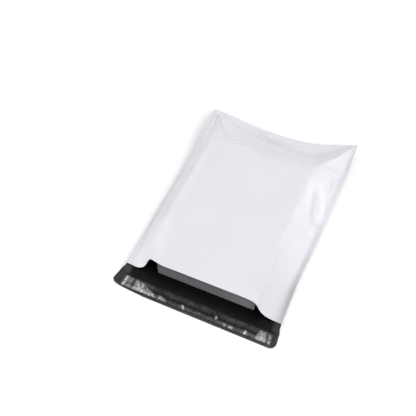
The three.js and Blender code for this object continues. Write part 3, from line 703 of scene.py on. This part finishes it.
# the four small closing triangles at the mouth's ends, as quads with one doubled corner left out
extra = [
    (vTO(jm, iL), vTI(jm, iL), vBI(jm, iL)), (vTO(jm, iR), vBI(jm, iR), vTI(jm, iR)),
    (vTO(jm - 1, 0), vTO(jm, 0), vBI(jm, 0)), (vTO(jm - 1, ni - 1), vBI(jm, ni - 1), vTO(jm, ni - 1)),
]
walls = [
    (vTO(jm - 1, 0), vBI(jm, 0), vBO(jm, 0), vBO(jm - 1, 0)),
    (vTO(jm - 1, ni - 1), vBO(jm - 1, ni - 1), vBO(jm, ni - 1), vBI(jm, ni - 1)),
]
quads = np.concatenate([quads, np.array(walls)])
mat_ix = np.concatenate([mat_ix, [0, 0]])


def bump_at(x, lo, hi, soft):
    return 1 / (1 + np.exp(-(x - lo) / soft)) * 1 / (1 + np.exp((x - hi) / soft))


def white_tone_and_painted_light():
    """Tone of the white side: 1, lower along the welded seams, with painted shade where the film rolls down to the
    right seam by the mouth; painted light and painted shade raise and lower it on the slopes, over the weld and along
    the folds.
    """
    pv = front[..., 1]
    er, el = BAG_W - sv, sv
    # darker along the side seams; the wider darkening along the right seam towards the mouth is painted shade where
    # the film rolls down to the seam
    flat_band = np.clip((9.4 - er) / 2.6, 0, 1)
    painted_seal_shade = fall(er / 15)
    band = flat_band * np.interp(pv, [40, 120, 185, 240, 275, 340], [0.02, 0.05, 0.07, 0.125, 0.07, 0.02])
    band += painted_seal_shade * np.interp(pv, [200, 250, 285, 338], [0.0, 0.04, 0.24, 0.22])
    thin = fall(er / 3.0) * (0.38 * fall((pv - 25) / 50) + 0.03)
    left = fall(el / 2.8) * 0.10
    # painted light and painted shade: lighter bands on the left slope, by the mouth's left lobe and on the far right
    # slope; darker on the near right slope
    painted_slope_light = 0.045 * bump_at(sv, 32, 45, 1.2) * bump_at(tv, 90, 400, 14)
    painted_slope_light += 0.085 * bump_at(sv, 15, 52, 3) * bump_at(tv, 268, 400, 12)
    slope = bump_at(sv, 207, 400, 1.5)
    painted_slope_light += slope * (0.075 * bump_at(tv, 88, 175, 10) * bump_at(er, 9, 60, 1.5) - 0.135 * bump_at(tv, 268, 500, 16))
    # painted light: the weld band is brightened here to stand for the slope bulging over the weld and hiding most of
    # its greyness
    painted_light_over_weld = 0.085 * fall((er - 1) / 7) * bump_at(pv, 92, 168, 8)
    # painted shade in the folds' hollows and painted highlights on their lit flanks
    painted_fold_light_and_shade = np.zeros_like(sv)
    for line, half, amount, crisp in SHADES:
        d, f = polyline_near(sv, tv, line)
        r = np.clip(d / half, 0, 1)
        shape = crisp * (1 - r) ** 1.5 + (1 - crisp) * fall(r)
        painted_fold_light_and_shade += amount * shape * fall(1 - np.clip(f / 0.2, 0, 1)) * fall(1 - np.clip((1 - f) / 0.2, 0, 1))
    return 1 + painted_slope_light + painted_light_over_weld + painted_fold_light_and_shade - np.clip(band + thin + left, 0, 0.5)


WHITE_TONE_AND_PAINTED_LIGHT = white_tone_and_painted_light()
# black side's tone: nearly black inside the mouth and on the front panel's inner face as painted shade; greyer on the
# flap, most at its ends and outer edge, as painted light
bu, bv = BI[..., 0], BI[..., 1]
ragged = 0.5 + 0.5 * smooth_noise(bu.shape, (2.2, 2.2), 21)
ends = np.maximum(bump_at(bu, -50, 21, 0.9), bump_at(bu, 238.5, 400, 0.9)) * bump_at(bv, 333, 400, 2.5)
margin = bump_at(bv, 371.4, 400, 0.35)
strip = bump_at(bv, 349, 400, 1.5) * 0.006
BLACK_PAINTED_LIGHT = 0.0035 + strip + ends * (0.028 + 0.02 * ragged) + margin * 0.05
TONE_AND_PAINTED_LIGHT = np.concatenate([WHITE_TONE_AND_PAINTED_LIGHT.ravel(), np.full(WHITE_TONE_AND_PAINTED_LIGHT.size, 0.004), BLACK_PAINTED_LIGHT.ravel(), np.ones(BLACK_PAINTED_LIGHT.size)])

used = np.zeros(len(P), bool)
used[quads.ravel()] = True
for tr in extra:
    used[list(tr)] = True
remap = np.cumsum(used) - 1
P, UVs = P[used], UVs[used]
quads = remap[quads]

film = mesh_object("film", metres(P), quads, [WHITE, BLACK], mat_ix, uvs=UVs)
bm = bmesh.new()
bm.from_mesh(film.data)
bm.verts.ensure_lookup_table()
for tr in extra:
    try:
        f = bm.faces.new([bm.verts[int(remap[k])] for k in tr])
        f.smooth = True
    except ValueError:
        pass
bmesh.ops.recalc_face_normals(bm, faces=bm.faces)
open_edges = sum(1 for e in bm.edges if not e.is_manifold)
print("film: verts", len(bm.verts), "faces", len(bm.faces), "open edges", open_edges)
# sharp rims, so that the cut edges stay crisp
for e in bm.edges:
    if len(e.link_faces) == 2 and e.calc_face_angle(0) > math.radians(50):
        e.smooth = False
bm.to_mesh(film.data)
bm.free()
float_attribute(film, "tone", TONE_AND_PAINTED_LIGHT[used])
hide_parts("mailer_film")
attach(film, "root")

# ---------------------------------------------------------------- carton
def carton_material():
    """Grey board: fine fibre; its grey is partly the board's own and partly painted shade, darker towards the top of
    its walls as painted shadow under the film's lip, and paler towards its right end as painted light.
    """
    m, nt, b = new_material("board", (0.17, 0.168, 0.178), 0.78, Specular_IOR_Level=0.2)
    co = nt.nodes.new("ShaderNodeTexCoord")
    sep = nt.nodes.new("ShaderNodeSeparateXYZ")
    nt.links.new(co.outputs["Object"], sep.inputs[0])
    # painted shadow: the walls darken towards the top, under the film's lip
    up = node(nt, "ShaderNodeMapRange")
    up.inputs["From Min"].default_value, up.inputs["From Max"].default_value = 0.001, 0.0268
    nt.links.new(sep.outputs["Z"], up.inputs["Value"])
    board_grey_and_painted_shade = ramp(nt, [(0.0, (0.25, 0.247, 0.255)), (0.5, (0.19, 0.187, 0.197)), (0.88, (0.125, 0.123, 0.134)), (1.0, (0.095, 0.093, 0.102))], up.outputs[0])
    fibre = node(nt, "ShaderNodeTexNoise", Scale=700.0, Detail=5.0, Roughness=0.65)
    nt.links.new(co.outputs["Object"], fibre.inputs["Vector"])
    speck = ramp(nt, [(0.3, (0.86, 0.86, 0.86)), (0.7, (1.12, 1.12, 1.12))], fibre.outputs["Fac"])
    mul = nt.nodes.new("ShaderNodeVectorMath")
    mul.operation = "MULTIPLY"
    nt.links.new(board_grey_and_painted_shade.outputs["Color"], mul.inputs[0])
    nt.links.new(speck.outputs["Color"], mul.inputs[1])
    # painted light: paler towards the right end, where more light falls
    painted_side_light = node(nt, "ShaderNodeMapRange")
    painted_side_light.inputs["From Min"].default_value, painted_side_light.inputs["From Max"].default_value = 0.020, 0.078
    painted_side_light.inputs["To Min"].default_value, painted_side_light.inputs["To Max"].default_value = 0.74, 0.98
    nt.links.new(sep.outputs["X"], painted_side_light.inputs["Value"])
    board_with_painted_light = nt.nodes.new("ShaderNodeVectorMath")
    board_with_painted_light.operation = "SCALE"
    nt.links.new(mul.outputs[0], board_with_painted_light.inputs[0])
    nt.links.new(painted_side_light.outputs[0], board_with_painted_light.inputs["Scale"])
    nt.links.new(board_with_painted_light.outputs[0], b.inputs["Base Color"])
    bump(nt, b, fibre.outputs["Fac"], 0.4, 0.0003)
    return m


def carton_mesh():
    """Tuck-end carton: shell, with the end panel set in from the side walls and a tucked top edge."""
    bm = bmesh.new()
    lo, hi = CARTON_LO, CARTON_HI

    def block(u0, u1, v0, v1, z0, z1, r, seg=3):
        made = bmesh.ops.create_cube(bm, size=1.0)["verts"]
        for w in made:
            w.co = plan(u0 + (w.co.x + 0.5) * (u1 - u0), v0 + (0.5 - w.co.y) * (v1 - v0), z0 + (w.co.z + 0.5) * (z1 - z0))
        es = list({e for w in made for e in w.link_edges})
        bmesh.ops.bevel(bm, geom=es, offset=r / 1000, segments=seg, affect="EDGES", profile=0.5)

    block(lo[0], hi[0], lo[1], hi[1] - 0.9, lo[2], hi[2], 1.1)
    # end panel, its slots at both sides and under the top edge left open
    block(lo[0] + 0.3, hi[0] - 4.6, hi[1] - 1.6, hi[1] - 0.1, lo[2] + 0.1, hi[2] - 0.9, 0.45)
    block(hi[0] - 4.15, hi[0] - 0.3, hi[1] - 1.6, hi[1] - 0.25, lo[2] + 0.1, hi[2] - 0.5, 0.4)
    for f in bm.faces:
        f.smooth = True
    me = bpy.data.meshes.new("carton")
    bm.to_mesh(me)
    bm.free()
    me.materials.append(carton_material())
    o = bpy.data.objects.new("carton", me)
    bpy.context.scene.collection.objects.link(o)
    me.set_sharp_from_angle(angle=math.radians(40))
    return o


carton = carton_mesh()
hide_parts("inner_carton")
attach(carton, "root")

# ---------------------------------------------------------------- adhesive and its liner
def inside(poly, x, y, soft):
    """Soft inside test of a convex polygon given clockwise in (u, v)."""
    out = np.ones_like(x)
    n = len(poly)
    for k in range(n):
        (ax, ay), (bx, by) = poly[k], poly[(k + 1) % n]
        L = math.hypot(bx - ax, by - ay)
        d = ((bx - ax) * (y - ay) - (by - ay) * (x - ax)) / L
        out *= 1 / (1 + np.exp(-np.clip(d / soft, -30, 30)))
    return out


def liner_surface():
    step = 0.5
    lu, lv = np.arange(8, 247.01, step), np.arange(351.5, 371.51, step)
    u, v = np.meshgrid(lu, lv)
    cells = 1.0 / step
    fine = smooth_noise(u.shape, (1.8 * cells, 1.3 * cells), 31)
    mid = smooth_noise(u.shape, (5 * cells, 3.2 * cells), 32)
    broad = smooth_noise(u.shape, (9 * cells, 22 * cells), 33)
    # creases run slanting across the liner
    w = (u + 0.35 * (v - 361)) / 2.6 + 1.3 * mid
    slant = 1 - np.abs(((w + 0.5 * smooth_noise(u.shape, (7 * cells, 7 * cells), 34)) % 2) - 1) * 2
    haze_and_highlight = np.interp(lv, [351.5, 354, 355.4, 357.5, 361, 363, 365.2, 366.8, 369, 371.5],
                     [.0035, .0045, .026, .046, .034, .007, .008, .047, .070, .055])[:, None] * np.ones_like(u)
    cell = smooth_noise(u.shape, (3.2 * cells, 4.6 * cells), 41) + 0.45 * smooth_noise(u.shape, (1.5 * cells, 2.0 * cells), 42)
    veins = np.exp(-(cell / 0.085) ** 2) * np.clip(0.6 + broad + mid, 0, 1)
    # painted glints: small bright flecks on the crinkles
    painted_glint = np.clip(smooth_noise(u.shape, (1.1 * cells, 1.5 * cells), 43) - 0.55, 0, 1) / 0.45 * np.clip(0.2 + cell, 0, 1)
    lower = bump_at(v, 362.5, 400, 1.2)
    haze_and_highlight *= np.clip(1 + 0.55 * broad + 0.45 * mid + 0.35 * fine - 0.75 * veins, 0.08, 3)
    haze_and_highlight += 0.10 * painted_glint * (0.35 + lower)
    # painted highlights: silvery patches where the crinkled liner catches the light
    patches = [
        ([(20, 355.2), (32.5, 356), (33, 370.5), (18.6, 370.8)], 0.19, 0.6),
        ([(20, 354.6), (24.2, 354.8), (22.6, 371), (18.6, 371)], 0.34, 0.6),
        ([(36, 356.4), (46, 356.6), (58, 361.5), (70, 367), (72, 371), (36, 371)], 0.26, 0.6),
        ([(37.5, 355.8), (40, 355.8), (50, 370), (45, 370)], 0.20, 0.8),
        ([(45.5, 357.6), (48.6, 357.8), (53, 369.6), (48, 370)], 0.20, 0.6),
        ([(36, 366.4), (70, 367.4), (72, 370.8), (36, 370.8)], 0.18, 0.6),
        ([(76.5, 365.2), (84, 366), (88, 370.8), (77, 371)], 0.40, 0.7),
        ([(111.6, 366), (114.6, 365.6), (117.4, 371), (115, 371.4)], 0.66, 0.45),
        ([(161, 363), (163.6, 362), (164.4, 365), (162.4, 366.6)], 0.52, 0.45),
        ([(174.6, 367.5), (178, 367.3), (179.6, 371.3), (177, 371.4)], 0.40, 0.5),
        ([(183, 369), (187.8, 367.2), (188.8, 370.6), (184, 371.2)], 0.55, 0.5),
        ([(205.4, 366.2), (208.4, 365.8), (207.8, 371.5), (204.4, 371.5)], 0.66, 0.45),
        ([(133.6, 367), (135.2, 366.6), (133.4, 371.4), (132, 371.4)], 0.2, 0.6),
        ([(225, 357.4), (234.2, 357), (236.4, 371.2), (220.6, 371.2)], 0.33, 0.5),
        ([(226, 362.5), (235, 362.5), (236, 370), (223, 370)], 0.12, 1.2),
        ([(237, 358), (241.3, 357.8), (243.6, 371.3), (238.6, 371.4)], 0.35, 0.5),
    ]
    painted_silver_highlight = np.zeros_like(u)
    for poly, amount, soft in patches:
        painted_silver_highlight = np.maximum(painted_silver_highlight, 0) + amount * inside(poly, u, v, soft)
    cuts = [([(40, 355.4), (42, 355.2), (46.5, 361.5), (44.4, 362.4)], 0.85, 0.5), ([(50.4, 357.6), (52.6, 358), (55, 364), (53, 364.8)], 0.9, 0.5),
            ([(227.5, 357), (230, 357), (229.4, 360.2), (228.2, 360.2)], 0.6, 0.4), ([(33, 354), (36, 354), (36.3, 367.5), (32.6, 367.5)], 0.95, 0.4),
            ([(235.4, 356), (237.6, 356), (239, 371.6), (236.6, 371.6)], 0.85, 0.35), ([(25, 356.4), (31.5, 357), (31, 366), (24.6, 366)], 0.35, 1.0)]
    for poly, amount, soft in cuts:
        painted_silver_highlight *= 1 - amount * inside(poly, u, v, soft)
    painted_silver_highlight = np.minimum(painted_silver_highlight * 0.74, 0.44) * np.clip(1 + 0.5 * slant + 0.45 * fine, 0.15, 2)
    haze_and_highlight += np.clip(painted_silver_highlight, 0, 0.6)
    ends = np.maximum(bump_at(u, -50, 18.6, 0.6), bump_at(u, 242.6, 400, 0.5))
    haze_and_highlight = haze_and_highlight * (1 - ends) + ends * (0.034 + 0.016 * mid)
    # relief: soft ripples everywhere, tighter creases where it has lifted and gone silvery
    lively = np.clip(painted_silver_highlight / 0.3, 0, 1)
    rise = 0.10 * mid + 0.06 * fine + 0.10 * broad + lively * (0.30 * np.maximum(slant, -0.3) + 0.10 * fine)
    band = np.interp(lv, [351.5, 354.5, 357.5, 361.5, 363.5, 366, 369, 371.5], [0.0, 0.0, 0.35, 0.25, 0.0, 0.05, 0.28, 0.05])[:, None]
    z = 1.42 + band + rise + 0.16
    tip = np.minimum(np.minimum(u - 8, 247 - u), np.minimum(v - 351.5, 371.5 - v))
    z = np.maximum(z - 0.1 * fall(tip / 2.0), 1.2)
    # edges wander slightly
    u = u + 0.5 * smooth_noise(u.shape, (6 * cells, 50 * cells), 35) * fall(np.minimum(u - 8, 247 - u) / 10)
    v = v + 0.35 * smooth_noise(v.shape, (60 * cells, 14 * cells), 36) * fall(np.minimum(v - 351.5, 371.5 - v) / 3)
    top = np.stack([u, v, z + 0.07], -1)
    low = np.stack([u, v, z], -1)
    r, c = u.shape
    f = []
    j, i = np.meshgrid(np.arange(r - 1), np.arange(c - 1), indexing="ij")
    k = lambda j, i: j * c + i
    up = np.stack([k(j, i), k(j + 1, i), k(j + 1, i + 1), k(j, i + 1)], -1).reshape(-1, 4)
    f.append(up)
    f.append(up[:, [0, 3, 2, 1]] + r * c)
    rim = np.concatenate([k(0, np.arange(c)), k(np.arange(1, r), c - 1), k(r - 1, np.arange(c - 2, -1, -1)), k(np.arange(r - 2, 0, -1), 0)])
    nxt = np.roll(rim, -1)
    f.append(np.stack([rim, nxt, nxt + r * c, rim + r * c], -1))
    verts = np.concatenate([top.reshape(-1, 3), low.reshape(-1, 3)])
    return verts, np.concatenate(f), np.concatenate([haze_and_highlight.ravel(), haze_and_highlight.ravel()])


def liner_material():
    """Release liner: thin, see-through where it lies tight, silvery where it has crinkled and let go; the silver and
    the bright flecks painted into its colour are painted highlights.
    """
    m, nt, b = new_material("liner", (0.05, 0.05, 0.05), 0.26, Specular_IOR_Level=0.16)
    at = nt.nodes.new("ShaderNodeAttribute")
    at.attribute_name = "haze_and_highlight"
    co = nt.nodes.new("ShaderNodeTexCoord")
    grain = node(nt, "ShaderNodeTexNoise", Scale=900.0, Detail=4.0, Roughness=0.6)
    nt.links.new(co.outputs["Object"], grain.inputs["Vector"])
    tint = ramp(nt, [(0.3, (0.72, 0.72, 0.73)), (0.7, (1.2, 1.2, 1.22))], grain.outputs["Fac"])
    mul = nt.nodes.new("ShaderNodeVectorMath")
    mul.operation = "SCALE"
    nt.links.new(tint.outputs["Color"], mul.inputs[0])
    nt.links.new(at.outputs["Fac"], mul.inputs["Scale"])
    nt.links.new(mul.outputs[0], b.inputs["Base Color"])
    bump(nt, b, grain.outputs["Fac"], 0.5, 0.0003)
    return m


lverts, lfaces, lhaze = liner_surface()
liner = mesh_object("liner", metres(lverts), lfaces, [liner_material()])

float_attribute(liner, "haze_and_highlight", lhaze)
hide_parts("release_liner")
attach(liner, "root")

glue, nt, b = new_material("hot_melt", (0.012, 0.012, 0.013), 0.22, Specular_IOR_Level=0.3)
co = nt.nodes.new("ShaderNodeTexCoord")
rib = node(nt, "ShaderNodeTexNoise", Scale=420.0, Detail=3.0)
nt.links.new(co.outputs["Object"], rib.inputs["Vector"])
bump(nt, b, rib.outputs["Fac"], 0.5, 0.0004)
smear = node(nt, "ShaderNodeTexNoise", Scale=38.0, Detail=4.0, Roughness=0.6)
nt.links.new(co.outputs["Object"], smear.inputs["Vector"])
amber = ramp(nt, [(0.3, (0.010, 0.010, 0.011)), (0.7, (0.022, 0.021, 0.019))], smear.outputs["Fac"])
nt.links.new(amber.outputs["Color"], b.inputs["Base Color"])
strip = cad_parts["adhesive_strip"]
strip.data.materials.clear()
strip.data.materials.append(glue)

# ---------------------------------------------------------------- floor, light
floor_m, nt, b = new_material("floor", (0.93, 0.93, 0.93), 0.9, Specular_IOR_Level=0.0)
R = 9.0
floor = mesh_object("floor", [(-R, -R, -0.0004), (R, -R, -0.0004), (R, R, -0.0004), (-R, R, -0.0004)], [(0, 1, 2, 3)], [floor_m], smooth=False)


def area_light(name, where, at, size, power, color=(1, 1, 1)):
    d = bpy.data.lights.new(name, "AREA")
    d.shape = "RECTANGLE"
    d.size, d.size_y = size
    d.energy = power
    d.color = color
    o = bpy.data.objects.new(name, d)
    bpy.context.scene.collection.objects.link(o)
    o.location = where
    o.rotation_euler = (Vector(at) - Vector(where)).to_track_quat("-Z", "Y").to_euler()
    return o


area_light("key", (1.5, -0.75, 1.45), (0.02, 0, 0), (1.0, 0.8), 8.0)
world = bpy.data.worlds.new("studio")
bpy.context.scene.world = world
world.use_nodes = True
wt = world.node_tree
bg = wt.nodes["Background"]
# a big soft studio dome: brighter to the right and front, dimmer behind
wco = wt.nodes.new("ShaderNodeTexCoord")
dot = wt.nodes.new("ShaderNodeVectorMath")
dot.operation = "DOT_PRODUCT"
dot.inputs[1].default_value = (0.15, -0.22, 0.10)
wt.links.new(wco.outputs["Generated"], dot.inputs[0])
lum = wt.nodes.new("ShaderNodeMath")
lum.operation = "ADD"
lum.inputs[1].default_value = 0.99
wt.links.new(dot.outputs["Value"], lum.inputs[0])
wt.links.new(lum.outputs[0], bg.inputs[1])
bg.inputs[0].default_value = (0.99, 0.99, 1.0, 1)
bpy.context.scene.view_settings.view_transform = "Standard"
bpy.context.scene.view_settings.look = "None"
